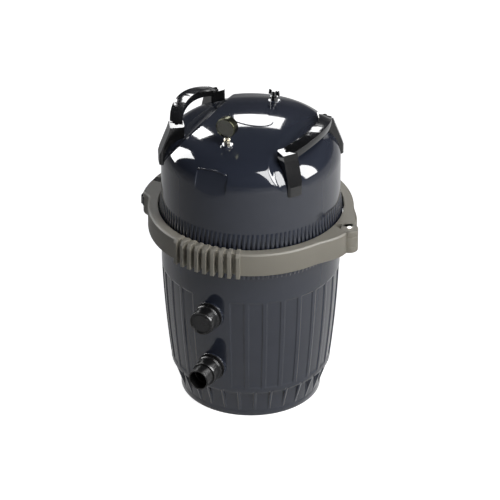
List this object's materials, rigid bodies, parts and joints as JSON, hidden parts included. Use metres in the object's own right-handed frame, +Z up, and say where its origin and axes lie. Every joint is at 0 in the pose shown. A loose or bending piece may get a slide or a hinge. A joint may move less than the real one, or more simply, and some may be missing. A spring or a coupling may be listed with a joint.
{
  "type": "cartridge filter",
  "caption": "Upright water filter: moulded tank and domed lid held by a hinged clamp ring, with pipe unions, gauge, air valve and pleated cartridges inside.",
  "frame": {"origin": "centre of the tank's flat underside, on the vessel's own axis", "axes": "+Z up along the vessel's axis, -Y out of the pipe unions, +X towards the clamp ring's hinge"},
  "size_m": [0.752, 0.71, 1.0609],
  "materials": {
    "tank_plastic": "glossy moulded glass-filled polypropylene",
    "ring_plastic": "satin moulded plastic, warm grey",
    "black_plastic": "polished black moulding",
    "steel": "turned stainless steel",
    "badge_film": "bare gloss plate",
    "brass": "dull turned brass",
    "gauge_steel": "polished pressed case",
    "dial": "printed dial face, plain",
    "needle": "black painted pointer",
    "lens": "clear window",
    "rubber": "moulded rubber",
    "inner_plastic": "white moulded plastic",
    "pleat_cloth": "pleated polyester felt",
    "cap_urethane": "cast urethane, blue"
  },
  "bodies": {
    "tank": {"tank_shell": "tank_plastic", "flange_seal": "rubber", "upper_fitting": "black_plastic", "lower_fitting": "black_plastic", "fitting_gaskets": "rubber", "fitting_locknuts": "black_plastic", "union_seals": "rubber", "blanking_plug": "black_plastic", "tailpiece": "black_plastic", "collector_manifold": "inner_plastic", "outlet_riser": "inner_plastic", "inlet_diffuser": "inner_plastic", "bleed_tube": "inner_plastic", "bleed_strainer": "inner_plastic", "drain_seal": "rubber"},
    "ring_front": {"ring_front_half": "ring_plastic", "latch_pin": "steel"},
    "ring_rear": {"ring_rear_half": "ring_plastic", "hinge_pin": "steel", "catch_pin": "steel"},
    "latch": {"latch_lever": "black_plastic"},
    "lid": {"lid_shell": "tank_plastic", "handle_left": "black_plastic", "handle_right": "black_plastic", "handle_screws": "steel", "badge_plate": "badge_film", "gauge_stem": "brass", "gauge_case": "gauge_steel", "gauge_dial": "dial", "gauge_lens": "lens", "air_valve_body": "black_plastic"},
    "valve_knob": {"air_valve_knob": "black_plastic"},
    "needle": {"gauge_needle": "needle"},
    "upper_nut": {"upper_union_nut": "black_plastic"},
    "lower_nut": {"lower_union_nut": "black_plastic"},
    "drain": {"drain_plug": "black_plastic"},
    "cartridges": {"pleat_pack_1": "pleat_cloth", "pleat_pack_2": "pleat_cloth", "pleat_pack_3": "pleat_cloth", "pleat_pack_4": "pleat_cloth", "end_caps_1": "cap_urethane", "end_caps_2": "cap_urethane", "end_caps_3": "cap_urethane", "end_caps_4": "cap_urethane", "core_tube_1": "inner_plastic", "core_tube_2": "inner_plastic", "core_tube_3": "inner_plastic", "core_tube_4": "inner_plastic", "cartridge_locator": "inner_plastic"}
  },
  "joints": [
    {"name": "ring_front_swing", "type": "hinge", "parent": "tank", "child": "ring_front", "pos_m": [0.353, 0, 0.6285], "axis": [0, 0, 1], "range_deg": [0, 70]},
    {"name": "ring_rear_swing", "type": "hinge", "parent": "tank", "child": "ring_rear", "pos_m": [0.353, 0, 0.6285], "axis": [0, 0, 1], "range_deg": [-70, 0]},
    {"name": "latch_turn", "type": "hinge", "parent": "ring_front", "child": "latch", "pos_m": [-0.34395, -0.07941, 0.6285], "axis": [0, 0, 1], "range_deg": [0, 95]},
    {"name": "lid_lift", "type": "slide", "parent": "tank", "child": "lid", "axis": [0, 0, 1], "range_m": [0, 0.6]},
    {"name": "cartridge_lift", "type": "slide", "parent": "tank", "child": "cartridges", "axis": [0, 0, 1], "range_m": [0, 0.27]},
    {"name": "air_valve_turn", "type": "hinge", "parent": "lid", "child": "valve_knob", "pos_m": [0, 0.165, 0.97], "axis": [0, 0, 1], "range_deg": [0, 90]},
    {"name": "needle_turn", "type": "hinge", "parent": "lid", "child": "needle", "pos_m": [0, -0.172, 1.02787], "axis": [0, -1, 0], "range_deg": [-270, 0], "stiffness_Nm_per_rad": 0.001},
    {"name": "upper_nut_turn", "type": "hinge", "parent": "tank", "child": "upper_nut", "pos_m": [0, -0.327, 0.402], "axis": [0, -1, 0], "continuous": true},
    {"name": "lower_nut_turn", "type": "hinge", "parent": "tank", "child": "lower_nut", "pos_m": [0, -0.327, 0.202], "axis": [0, -1, 0], "continuous": true},
    {"name": "drain_turn", "type": "hinge", "parent": "tank", "child": "drain", "pos_m": [0, 0.28, 0.16], "axis": [0, 1, 0], "continuous": true}
  ],
  "couplings": [
    {"joint": "cartridge_lift", "follows": "lid_lift", "ratio": 0.45}
  ]
}
